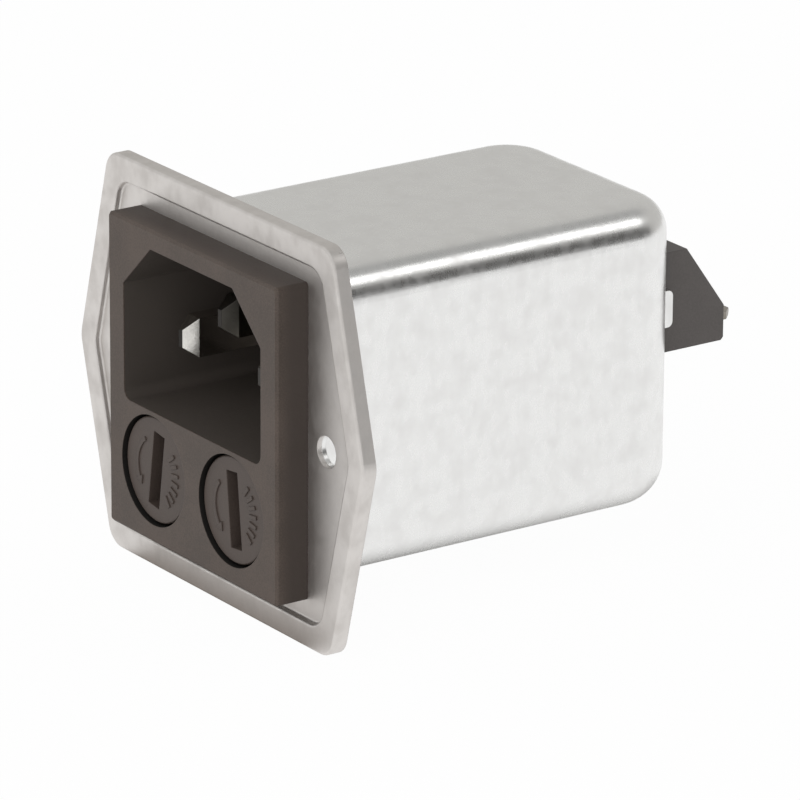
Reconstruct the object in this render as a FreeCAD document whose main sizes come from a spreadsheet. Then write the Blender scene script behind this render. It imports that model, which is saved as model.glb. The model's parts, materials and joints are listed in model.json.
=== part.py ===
import FreeCAD, Part
import math
import os
import Sketcher

# Filtered mains inlet for a panel: a three-pole socket and two fuse holders in one moulding, a sheet-metal
# flange, a deep-drawn can round the filter, and a shroud with push-on terminals at the rear.
# X is to the right seen from the front, Y runs back into the equipment and Z is up. The origin is midway
# between the two screw holes, on the front face of the flange's sunken panel. Sizes are in millimetres.

SIZES = {
    # screw holes and flange
    "hole_pitch": 36.0,
    "hole_diameter": 3.2,
    "flange_width": 50.0,
    "flange_shoulder": 39.2,
    "flange_height": 41.2,
    "flange_corner": 2.4,
    "flange_point": 3.0,
    "plate_sheet": 0.5,
    "rim_rise": 0.6,
    "rim_width": 2.6,
    "rim_round": 0.3,
    "panel_corner": 2.2,
    "panel_round": 0.25,
    "edge_depth": 1.6,
    "edge_sheet": 0.5,
    "flange_clearance": 0.15,
    # drawn can
    "can_side_gap": 0.9,
    "can_top_gap": 0.65,
    "can_bottom_gap": 1.05,
    "can_depth": 45.7,
    "can_wall": 0.5,
    "can_edge": 3.6,
    "can_sole": 4.5,
    "can_end": 6.0,
    "can_foot": 0.8,
    "keeper_reach": 0.75,
    "keeper_height": 3.85,
    "keeper_level": 3.8,
    "keeper_round": 0.6,
    # bezel and socket
    "bezel_side": 2.75,
    "bezel_top": 2.0,
    "bezel_bottom": 2.1,
    "bezel_proud": 3.63,
    "bezel_corner": 0.5,
    "bezel_chamfer": 0.25,
    "recess_width": 24.2,
    "recess_height": 16.6,
    "recess_top": 14.1,
    "recess_depth": 16.5,
    "recess_cut_wide": 4.9,
    "recess_cut_tall": 4.7,
    "recess_corner": 1.1,
    "shell_wall": 0.9,
    "shell_floor": 1.8,
    "spigot_depth": 5.0,
    "spigot_clearance": 0.2,
    "spigot_corner": 1.5,
    "spigot_margin": 0.5,
    "snap_reach": 0.5,
    "snap_length": 1.6,
    "snap_width": 5.0,
    "snap_level": 4.0,
    "snap_clearance": 0.1,
    # contact blades of the socket
    "pin_pitch": 14.0,
    "pin_level": 4.45,
    "earth_lift": 4.0,
    "pin_thick": 2.0,
    "pin_height": 4.0,
    "pin_tip": 1.75,
    "pin_edge": 0.6,
    "pin_taper": 1.6,
    "pin_set_back": 3.3,
    "pin_tail": 4.5,
    "pin_clearance": 0.05,
    # fuse holders
    "cap_pitch": 13.8,
    "cap_drop": 8.6,
    "cap_diameter": 10.8,
    "cap_gap": 0.25,
    "cap_set_back": 0.4,
    "head_thick": 3.0,
    "head_bevel": 0.12,
    "head_gap": 0.2,
    "slot_length": 7.8,
    "slot_width": 1.9,
    "slot_depth": 1.6,
    "tilt_left": 8.0,
    "tilt_right": -6.0,
    "stem_diameter": 7.0,
    "stem_gap": 0.3,
    "tube_wall": 1.2,
    "ledge": 1.2,
    "lug_reach": 0.9,
    "lug_width": 1.8,
    "lug_thick": 1.2,
    "lug_gap": 0.3,
    "lug_play": 0.85,
    "lock_turn": 45.0,
    "lock_margin": 26.0,
    "neck_tail": 0.8,
    # fuse links and their contacts
    "fuse_length": 20.0,
    "ferrule_diameter": 5.2,
    "ferrule_length": 5.5,
    "ferrule_sheet": 0.2,
    "ferrule_end": 0.4,
    "glass_gap": 0.05,
    "glass_wall": 0.5,
    "element_diameter": 0.4,
    "clip_gap": 0.2,
    "clip_floor": 0.5,
    "clip_length": 5.5,
    "contact_gap": 0.2,
    "contact_diameter": 5.0,
    "contact_height": 1.6,
    "contact_sheet": 0.5,
    "contact_width": 4.0,
    "link_sheet": 0.5,
    "link_width": 3.0,
    "finger_width": 2.4,
    "finger_length": 2.2,
    "finger_clearance": 0.2,
    "lead_diameter": 1.4,
    "lead_offset": 4.0,
    # filter parts
    "board_thick": 1.6,
    "board_side_gap": 2.1,
    "board_end_gap": 2.25,
    "board_corner": 3.0,
    "choke_level": 5.4,
    "core_outer": 16.0,
    "core_inner": 8.4,
    "core_height": 7.0,
    "winding_layer": 0.8,
    "winding_gap": 0.1,
    "winding_span": 140.0,
    "box_cap_width": 18.0,
    "box_cap_height": 5.8,
    "box_cap_depth": 11.0,
    "box_cap_level": -9.3,
    "box_cap_round": 0.6,
    "disc_cap_diameter": 7.0,
    "disc_cap_thick": 2.4,
    "disc_cap_gap": 0.4,
    "disc_cap_round": 0.8,
    "resistor_diameter": 2.4,
    "resistor_length": 6.4,
    "resistor_level": -4.9,
    "seat_gap": 0.1,
    # terminal shroud
    "block_width": 20.0,
    "block_height": 10.4,
    "block_drop": 0.95,
    "block_reach": 7.6,
    "block_flat": 2.86,
    "block_lip": 3.7,
    "block_chamfer": 0.3,
    "block_clearance": 0.15,
    "base_thick": 1.5,
    "base_top_lip": 0.5,
    "base_bottom_lip": 1.6,
    "shroud_wall": 0.8,
    "shroud_divider": 1.0,
    "shroud_floor": 1.8,
    # push-on terminals and earth parts
    "tab_width": 6.3,
    "tab_thick": 0.8,
    "tab_tip": 3.1,
    "tab_chamfer": 1.2,
    "tab_bevel": 0.25,
    "tab_hole": 1.8,
    "tab_hole_set_back": 3.4,
    "tab_level": 0.7,
    "tab_clearance": 0.05,
    "earth_tab_offset": 5.2,
    "earth_tab_reach": 7.6,
    "earth_tab_top": 2.9,
    "earth_tab_bottom": 9.0,
    "earth_tab_bend": 0.4,
    "rivet_diameter": 2.6,
    "rivet_head": 4.6,
    "rivet_head_thick": 0.8,
    "rivet_level": -5.4,
    "rivet_clearance": 0.05,
    "strap_sheet": 0.5,
    "strap_width": 4.0,
    "strap_foot": 6.0,
}

doc = FreeCAD.newDocument("filtered_inlet")
sheet = doc.addObject("Spreadsheet::Sheet", "sizes")
for row, (alias, number) in enumerate(SIZES.items(), start=1):
    sheet.set(f"A{row}", alias)
    sheet.set(f"B{row}", str(number))
    sheet.setAlias(f"B{row}", alias)
doc.recompute()

pieces = {}

# Levels that several pieces share, as expressions on the sheet.
HOLE_X = "sizes.hole_pitch / 2"
RIM_FRONT = "-sizes.rim_rise"
EDGE_BACK = "(sizes.edge_depth - sizes.rim_rise)"
FRONT = "-sizes.bezel_proud"
BEZEL_SIDE = "(sizes.recess_width / 2 + sizes.bezel_side)"
BEZEL_TOP = "(sizes.recess_top + sizes.bezel_top)"
BEZEL_BOTTOM = "(-sizes.cap_drop - sizes.cap_diameter / 2 - sizes.bezel_bottom)"
RECESS_FLOOR = f"({FRONT} + sizes.recess_depth)"
SHELL_REAR = f"({RECESS_FLOOR} + sizes.shell_floor)"
SPIGOT_SIDE = "(sizes.recess_width / 2 + sizes.shell_wall)"
SPIGOT_TOP = "(sizes.recess_top + sizes.shell_wall)"
BORE_RADIUS = "(sizes.stem_diameter / 2 + sizes.stem_gap)"
TUBE_RADIUS = f"({BORE_RADIUS} + sizes.tube_wall)"
SPIGOT_BOTTOM = f"(-sizes.cap_drop - {TUBE_RADIUS} - sizes.spigot_margin)"
CAN_INNER_SIDE = f"({SPIGOT_SIDE} + sizes.can_side_gap)"
CAN_INNER_TOP = f"({SPIGOT_TOP} + sizes.can_top_gap)"
CAN_INNER_BOTTOM = f"({SPIGOT_BOTTOM} - sizes.can_bottom_gap)"
CAN_INNER_REAR = "(sizes.can_depth - sizes.can_wall)"
CAN_FLAT_SIDE = f"({CAN_INNER_SIDE} + sizes.can_wall - sizes.can_end)"
CAN_FLANGE_BACK = "(sizes.plate_sheet + sizes.can_wall)"
CAP_FACE = f"({FRONT} + sizes.cap_set_back)"
HEAD_BACK = f"({FRONT} + sizes.head_thick)"
BORE_FLOOR = f"({HEAD_BACK} + sizes.head_gap)"
LOCK_FRONT = f"({BORE_FLOOR} + sizes.ledge)"
LUG_FRONT = f"({LOCK_FRONT} + sizes.lug_gap)"
LUG_BACK = f"({LUG_FRONT} + sizes.lug_thick)"
LOCK_BACK = f"({LUG_BACK} + sizes.lug_gap)"
LUG_RADIUS = "(sizes.stem_diameter / 2 + sizes.lug_reach)"
LOCK_RADIUS = f"({LUG_RADIUS} + sizes.lug_gap)"
NECK_BACK = f"({LUG_BACK} + sizes.neck_tail)"
FUSE_FRONT = f"({NECK_BACK} + sizes.clip_floor)"
FUSE_BACK = f"({FUSE_FRONT} + sizes.fuse_length)"
CONTACT_FRONT = f"({FUSE_BACK} + sizes.contact_gap)"
TUBE_REAR = f"({CONTACT_FRONT} + sizes.contact_height)"
CONTACT_BACK = f"({TUBE_REAR} + sizes.contact_sheet)"
PIN_REAR = f"({SHELL_REAR} + sizes.pin_tail)"
BASE_FRONT = f"({CAN_INNER_REAR} - sizes.base_thick)"
BOARD_FRONT = f"({BASE_FRONT} - sizes.board_thick)"
BLOCK_BOTTOM = "-sizes.block_drop"
BLOCK_TOP = "(sizes.block_height - sizes.block_drop)"
BLOCK_END = "(sizes.can_depth + sizes.block_reach)"
CAVITY_FRONT = "(sizes.can_depth + sizes.shroud_floor)"
CAVITY_SIDE = "(sizes.block_width / 2 - sizes.shroud_wall)"
TAB_X = f"(({CAVITY_SIDE} + sizes.shroud_divider / 2) / 2)"
TAB_END = f"({BLOCK_END} + sizes.tab_tip)"
SIDES = (("left", -1), ("right", 1))


# Sketching: each drawing function takes a sketch and puts one closed outline in it.

def origin_plane(body, role):
    return next(feature for feature in body.Origin.OriginFeatures if feature.Role == role)


def sketch_on(body, name, role, level):
    """A sketch parallel to an origin plane, at a level along Y, X or Z."""
    sketch = body.newObject("Sketcher::SketchObject", name)
    sketch.AttachmentSupport = (origin_plane(body, role), [""])
    sketch.MapMode = "FlatFace"
    away = "-1" if role == "XZ_Plane" else "1"
    sketch.setExpression("AttachmentOffset.Base.z", f"{away} * ({level})")
    return sketch


def hold(sketch, kind, curve, point, start, expression):
    """Ties one coordinate of a point to an expression, or to the axis where it is nought."""
    if expression == "0":
        axis = -2 if kind == "DistanceX" else -1
        sketch.addConstraint(Sketcher.Constraint("PointOnObject", curve, point, axis))
        return
    index = sketch.addConstraint(Sketcher.Constraint(kind, -1, 1, curve, point, start))
    sketch.setExpression(f"Constraints[{index}]", expression)


def polygon(corners):
    """Draws straight edges through the corners, each an expression pair."""
    def draw(sketch):
        count = len(corners)
        first = sketch.GeometryCount
        turns = [2 * math.pi * (n + 0.5) / count for n in range(count)]
        spots = [FreeCAD.Vector(math.cos(turn), math.sin(turn), 0) for turn in turns]
        for n, spot in enumerate(spots):
            sketch.addGeometry(Part.LineSegment(spot, spots[(n + 1) % count]))
        for n in range(count):
            sketch.addConstraint(Sketcher.Constraint("Coincident", first + n, 2, first + (n + 1) % count, 1))
        for n, (across, up) in enumerate(corners):
            hold(sketch, "DistanceX", first + n, 1, spots[n].x, across)
            hold(sketch, "DistanceY", first + n, 1, spots[n].y, up)
    return draw


def rectangle(left, right, bottom, top):
    return polygon([(left, bottom), (right, bottom), (right, top), (left, top)])


def circles(diameter, *centres):
    """Draws a circle of one diameter round each centre."""
    def draw(sketch):
        for across, up in centres:
            curve = sketch.addGeometry(Part.Circle(FreeCAD.Vector(1, 1, 0), FreeCAD.Vector(0, 0, 1), 1))
            hold(sketch, "DistanceX", curve, 3, 1, across)
            hold(sketch, "DistanceY", curve, 3, 1, up)
            index = sketch.addConstraint(Sketcher.Constraint("Diameter", curve, 2))
            sketch.setExpression(f"Constraints[{index}]", diameter)
    return draw


def hexagon(inset):
    """The flange's outline, moved inwards by an inset."""
    lean = "((sizes.flange_width - sizes.flange_shoulder) / sizes.flange_height)"
    tip = f"(sizes.flange_width / 2 - {inset} * sqrt(1 + {lean} ^ 2))"
    top = f"(sizes.flange_height / 2 - {inset})"
    shoulder = f"({tip} - {lean} * {top})"
    return polygon([(tip, "0"), (shoulder, top), (f"-{shoulder}", top),
                    (f"-{tip}", "0"), (f"-{shoulder}", f"-{top}"), (shoulder, f"-{top}")])


def socket_outline(inset):
    """The socket's recess, its two upper corners cut off, grown outwards by a negative inset."""
    side = f"(sizes.recess_width / 2 - {inset})"
    top = f"(sizes.recess_top - {inset})"
    bottom = f"(sizes.recess_top - sizes.recess_height + {inset})"
    slant = "sqrt(sizes.recess_cut_wide ^ 2 + sizes.recess_cut_tall ^ 2)"
    cut_top = f"({side} - sizes.recess_cut_wide + {inset} * (1 - ({slant} - sizes.recess_cut_wide)"
    cut_top += " / sizes.recess_cut_tall))"
    cut_side = f"({top} - sizes.recess_cut_tall + {inset} * (1 - ({slant} - sizes.recess_cut_tall)"
    cut_side += " / sizes.recess_cut_wide))"
    return polygon([(f"-{side}", bottom), (side, bottom), (side, cut_side),
                    (cut_top, top), (f"-{cut_top}", top), (f"-{side}", cut_side)])


# Features: the outlines above become solids and cuts of a body.

def new_body(name):
    return doc.addObject("PartDesign::Body", name)


def slab(body, name, draw, front, rear):
    """Adds an outline seen from the front, from one level in Y to a deeper one."""
    outline = sketch_on(body, name + "_outline", "XZ_Plane", rear)
    draw(outline)
    feature = body.newObject("PartDesign::Pad", name)
    feature.Profile = outline
    feature.setExpression("Length", f"({rear}) - ({front})")
    return feature


def sink(body, name, draw, front, rear):
    """Cuts an outline seen from the front, from one level in Y to a deeper one."""
    outline = sketch_on(body, name + "_outline", "XZ_Plane", front)
    draw(outline)
    feature = body.newObject("PartDesign::Pocket", name)
    feature.Profile = outline
    feature.setExpression("Length", f"({rear}) - ({front})")
    return feature


def across(body, name, draw, role, level, width, kind="Pad"):
    """Adds or cuts an outline in a plane along the depth, evenly to both sides of a level."""
    outline = sketch_on(body, name + "_outline", role, level)
    draw(outline)
    feature = body.newObject("PartDesign::" + kind, name)
    feature.Profile = outline
    feature.SideType = "Symmetric"
    feature.setExpression("Length", width)
    return feature


def turned(body, name, corners, kind="Revolution", turn="360", x="0", z="0"):
    """Turns an outline of depth and radius about an axis along Y."""
    outline = sketch_on(body, name + "_outline", "YZ_Plane", x)
    outline.setExpression("AttachmentOffset.Base.y", z)
    polygon(corners)(outline)
    feature = body.newObject("PartDesign::" + kind, name)
    feature.Profile = outline
    feature.ReferenceAxis = (outline, ["H_Axis"])
    feature.setExpression("Angle", turn)
    return feature


def edges_where(shape, test):
    return [f"Edge{n}" for n, edge in enumerate(shape.Edges, start=1) if test(edge)]


def lengthwise(edge):
    """True for a straight edge along Y."""
    box = edge.BoundBox
    return box.XLength < 1e-6 and box.ZLength < 1e-6


def upright(edge):
    """True for a straight edge along Z."""
    box = edge.BoundBox
    return box.XLength < 1e-6 and box.YLength < 1e-6


def at_depth(level):
    """A test for edges that lie wholly at one level in Y."""
    def test(edge):
        box = edge.BoundBox
        return abs(box.YMin - level) < 1e-4 and abs(box.YMax - level) < 1e-4
    return test


def at_height(level):
    """A test for edges that lie wholly at one level in Z."""
    def test(edge):
        box = edge.BoundBox
        return abs(box.ZMin - level) < 1e-4 and abs(box.ZMax - level) < 1e-4
    return test


def soften(body, name, kind, size, test):
    """Fillets or chamfers the edges of the body that pass the test."""
    doc.recompute()
    base = body.Tip
    names = edges_where(base.Shape, test)
    feature = body.newObject("PartDesign::" + kind, name)
    feature.Base = (base, names)
    feature.setExpression("Radius" if kind == "Fillet" else "Size", size)
    return feature


def keep(label, thing, solids=1):
    """Lists a finished sub-part under the name of its file."""
    thing.Label = label
    pieces[label] = (thing, solids)


# Front plate: stamped with a sunken panel, its rim's edge turned back round the can's flange.

plate = new_body("plate")
slab(plate, "plate_blank", hexagon("0"), RIM_FRONT, EDGE_BACK)
soften(plate, "plate_corners", "Fillet", "sizes.flange_corner",
       lambda edge: lengthwise(edge) and abs(edge.BoundBox.ZMin) > 1e-6)
soften(plate, "plate_points", "Fillet", "sizes.flange_point",
       lambda edge: lengthwise(edge) and abs(edge.BoundBox.ZMin) < 1e-6)
sink(plate, "plate_panel", hexagon("sizes.rim_width"), RIM_FRONT, "0")
soften(plate, "panel_corners", "Fillet", "sizes.panel_corner",
       lambda edge: lengthwise(edge) and abs(edge.BoundBox.YMax) < 1e-6)
soften(plate, "panel_round", "Fillet", "sizes.panel_round", at_depth(0))
soften(plate, "plate_rim_round", "Fillet", "sizes.rim_round", at_depth(-sheet.rim_rise))
sink(plate, "plate_seat", hexagon("sizes.edge_sheet"), "sizes.plate_sheet", EDGE_BACK)
sink(plate, "plate_window",
     rectangle(f"-({SPIGOT_SIDE} + sizes.spigot_clearance)", f"{SPIGOT_SIDE} + sizes.spigot_clearance",
               f"{SPIGOT_BOTTOM} - sizes.spigot_clearance", f"{SPIGOT_TOP} + sizes.spigot_clearance"),
     RIM_FRONT, EDGE_BACK)
sink(plate, "plate_holes", circles("sizes.hole_diameter", (HOLE_X, "0"), (f"-{HOLE_X}", "0")),
     RIM_FRONT, EDGE_BACK)
keep("flange_plate", plate)


# Can: drawn from one sheet, flange and all, with a window in its rear wall for the terminal shroud and
# two keepers bent out beside it.

def can_form(name, skin, front, rear):
    """The can's inside, or its outside where a skin of the wall's thickness is added."""
    form = new_body(name)
    slab(form, name + "_block",
         rectangle(f"-({CAN_INNER_SIDE} + {skin})", f"{CAN_INNER_SIDE} + {skin}",
                   f"{CAN_INNER_BOTTOM} - {skin}", f"{CAN_INNER_TOP} + {skin}"), front, rear)
    doc.recompute()
    box = form.Shape.BoundBox
    soften(form, name + "_end", "Fillet", f"sizes.can_end - sizes.can_wall + {skin}",
           lambda edge: upright(edge) and edge.BoundBox.YMax > box.YMax - 1e-4)
    for end, radius, level in (("_top", "sizes.can_edge", box.ZMax), ("_sole", "sizes.can_sole", box.ZMin)):
        soften(form, name + end, "Fillet", f"{radius} - sizes.can_wall + {skin}",
               lambda edge: at_height(level)(edge) and edge.BoundBox.YMax > box.YMin + 1e-4)
    return form


can_outside = can_form("can_outside", "sizes.can_wall", "sizes.plate_sheet", "sizes.can_depth")
doc.recompute()
can_reach = can_outside.Shape.BoundBox
can_reach.enlarge(1e-4)
slab(can_outside, "can_flange", hexagon("(sizes.edge_sheet + sizes.flange_clearance)"),
     "sizes.plate_sheet", CAN_FLANGE_BACK)
soften(can_outside, "can_foot", "Fillet", "sizes.can_foot",
       lambda edge: at_depth(sheet.plate_sheet + sheet.can_wall)(edge) and can_reach.isInside(edge.BoundBox))
sink(can_outside, "can_holes", circles("sizes.hole_diameter", (HOLE_X, "0"), (f"-{HOLE_X}", "0")),
     "sizes.plate_sheet", f"{CAN_FLANGE_BACK} + sizes.can_foot")
sink(can_outside, "can_window",
     rectangle("-(sizes.block_width / 2 + sizes.block_clearance)",
               "sizes.block_width / 2 + sizes.block_clearance",
               f"{BLOCK_BOTTOM} - sizes.block_clearance", f"{BLOCK_TOP} + sizes.block_clearance"),
     "sizes.can_depth - sizes.can_end", "sizes.can_depth")
sink(can_outside, "can_rivet_hole",
     circles("sizes.rivet_diameter + 2 * sizes.rivet_clearance",
             ("-sizes.earth_tab_offset", "sizes.rivet_level")),
     "sizes.can_depth - sizes.can_end", "sizes.can_depth")
for side, sign in SIDES:
    inner = f"{sign} * (sizes.block_width / 2 + sizes.block_clearance)"
    outer = f"{sign} * (sizes.block_width / 2 + sizes.block_clearance + sizes.can_wall)"
    slab(can_outside, "keeper_" + side,
         rectangle(inner, outer, "sizes.keeper_level - sizes.keeper_height / 2",
                   "sizes.keeper_level + sizes.keeper_height / 2"),
         "sizes.can_depth - sizes.can_end", "sizes.can_depth + sizes.keeper_reach")
soften(can_outside, "keeper_rounds", "Fillet", "sizes.keeper_round",
       lambda edge: at_depth(sheet.can_depth + sheet.keeper_reach)(edge)
       and edge.BoundBox.ZLength < 1e-6)
can_inside = can_form("can_inside", "0", "0", CAN_INNER_REAR)
can = doc.addObject("Part::Cut", "can")
can.Base = can_outside
can.Tool = can_inside
keep("shield_can", can)


# Inlet body: one black moulding with the bezel, the socket's shell and the two fuse tubes. Snap noses hold
# it behind the edges of the front plate's window.

inlet = new_body("inlet")
slab(inlet, "bezel", rectangle(f"-{BEZEL_SIDE}", BEZEL_SIDE, BEZEL_BOTTOM, BEZEL_TOP), FRONT, "0")
soften(inlet, "bezel_corners", "Fillet", "sizes.bezel_corner", lengthwise)
soften(inlet, "bezel_chamfer", "Chamfer", "sizes.bezel_chamfer", at_depth(-sheet.bezel_proud))
slab(inlet, "spigot", rectangle(f"-{SPIGOT_SIDE}", SPIGOT_SIDE, SPIGOT_BOTTOM, SPIGOT_TOP),
     "0", "sizes.spigot_depth")
soften(inlet, "spigot_corners", "Fillet", "sizes.spigot_corner",
       lambda edge: lengthwise(edge) and edge.BoundBox.YMin > -1e-6)
slab(inlet, "socket_shell", socket_outline("(-sizes.shell_wall)"), "0", SHELL_REAR)
TUBE_CENTRES = [(f"{sign} * sizes.cap_pitch / 2", "-sizes.cap_drop") for side, sign in SIDES]
slab(inlet, "fuse_tubes", circles(f"2 * {TUBE_RADIUS}", *TUBE_CENTRES), "0", TUBE_REAR)
sink(inlet, "socket_recess", socket_outline("0"), FRONT, RECESS_FLOOR)
soften(inlet, "recess_corners", "Fillet", "sizes.recess_corner",
       lambda edge: lengthwise(edge)
       and abs(edge.BoundBox.ZMin - (sheet.recess_top - sheet.recess_height)) < 1e-4
       and abs(abs(edge.BoundBox.XMin) - sheet.recess_width / 2) < 1e-4)
sink(inlet, "cap_bores", circles("sizes.cap_diameter + 2 * sizes.cap_gap", *TUBE_CENTRES), FRONT, BORE_FLOOR)
sink(inlet, "fuse_bores", circles(f"2 * {BORE_RADIUS}", *TUBE_CENTRES), BORE_FLOOR, TUBE_REAR)
for side, sign in SIDES:
    centre = f"{sign} * sizes.cap_pitch / 2"
    half = "(sizes.lug_width / 2 + sizes.lug_play)"
    sink(inlet, "lug_entry_" + side,
         rectangle(f"{centre} - {half}", f"{centre} + {half}",
                   f"-sizes.cap_drop - {LOCK_RADIUS}", f"-sizes.cap_drop + {LOCK_RADIUS}"),
         BORE_FLOOR, LOCK_BACK)
    for end, up in (("upper", "1"), ("lower", "-1")):
        turned(inlet, f"lock_{end}_{side}",
               [(LOCK_FRONT, "0"), (LOCK_BACK, "0"), (LOCK_BACK, f"{up} * {LOCK_RADIUS}"),
                (LOCK_FRONT, f"{up} * {LOCK_RADIUS}")],
               kind="Groove", turn="sizes.lock_turn + sizes.lock_margin", x=centre, z="-sizes.cap_drop")
    window_middle = f"{sign} * (sizes.cap_pitch / 2 + {TUBE_RADIUS})"
    across(inlet, "finger_window_" + side,
           rectangle("sizes.spigot_depth + sizes.finger_clearance",
                     "sizes.spigot_depth + 3 * sizes.finger_clearance + sizes.finger_length",
                     "-sizes.cap_drop - sizes.finger_width / 2 - sizes.finger_clearance",
                     "-sizes.cap_drop + sizes.finger_width / 2 + sizes.finger_clearance"),
           "YZ_Plane", window_middle, "2 * (sizes.tube_wall + sizes.finger_clearance)", kind="Pocket")
    nose = [(f"{sign} * {SPIGOT_SIDE}", "sizes.plate_sheet + sizes.snap_clearance"),
            (f"{sign} * ({SPIGOT_SIDE} + sizes.snap_reach)", "sizes.plate_sheet + sizes.snap_clearance"),
            (f"{sign} * {SPIGOT_SIDE}", "sizes.plate_sheet + sizes.snap_clearance + sizes.snap_length")]
    across(inlet, "snap_nose_" + side, polygon(nose), "XY_Plane", "sizes.snap_level", "sizes.snap_width")
PIN_SPOTS = {"line": ("-sizes.pin_pitch / 2", "sizes.pin_level"),
             "neutral": ("sizes.pin_pitch / 2", "sizes.pin_level"),
             "earth": ("0", "sizes.pin_level + sizes.earth_lift")}
for name, (middle, level) in PIN_SPOTS.items():
    half_wide = "(sizes.pin_thick / 2 + sizes.pin_clearance)"
    half_tall = "(sizes.pin_height / 2 + sizes.pin_clearance)"
    sink(inlet, name + "_pin_slot",
         rectangle(f"{middle} - {half_wide}", f"{middle} + {half_wide}",
                   f"{level} - {half_tall}", f"{level} + {half_tall}"), RECESS_FLOOR, SHELL_REAR)
keep("inlet_body", inlet)


# Contact blades: flat, with a tip tapered on all four sides that stands back from the bezel's face.

for name, (middle, level) in PIN_SPOTS.items():
    pin = new_body(name + "_blade")
    tip = f"({FRONT} + sizes.pin_set_back)"
    profile = [(tip, f"{level} - sizes.pin_tip / 2"),
               (f"{tip} + sizes.pin_taper", f"{level} - sizes.pin_height / 2"),
               (PIN_REAR, f"{level} - sizes.pin_height / 2"),
               (PIN_REAR, f"{level} + sizes.pin_height / 2"),
               (f"{tip} + sizes.pin_taper", f"{level} + sizes.pin_height / 2"),
               (tip, f"{level} + sizes.pin_tip / 2")]
    across(pin, name + "_pin_blade", polygon(profile), "YZ_Plane", middle, "sizes.pin_thick")
    for side, sign in SIDES:
        face = f"({middle} + {sign} * sizes.pin_thick / 2)"
        wedge = [(face, tip), (face, f"{tip} + sizes.pin_taper"),
                 (f"({middle} + {sign} * sizes.pin_edge / 2)", tip)]
        across(pin, f"{name}_pin_taper_{side}", polygon(wedge), "XY_Plane", level, "sizes.pin_height",
               kind="Pocket")
    keep(name + "_pin", pin)


# Fuse holders: a slotted bayonet cap with a metal clip, the fuse that it carries, and the fixed contacts.

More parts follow.
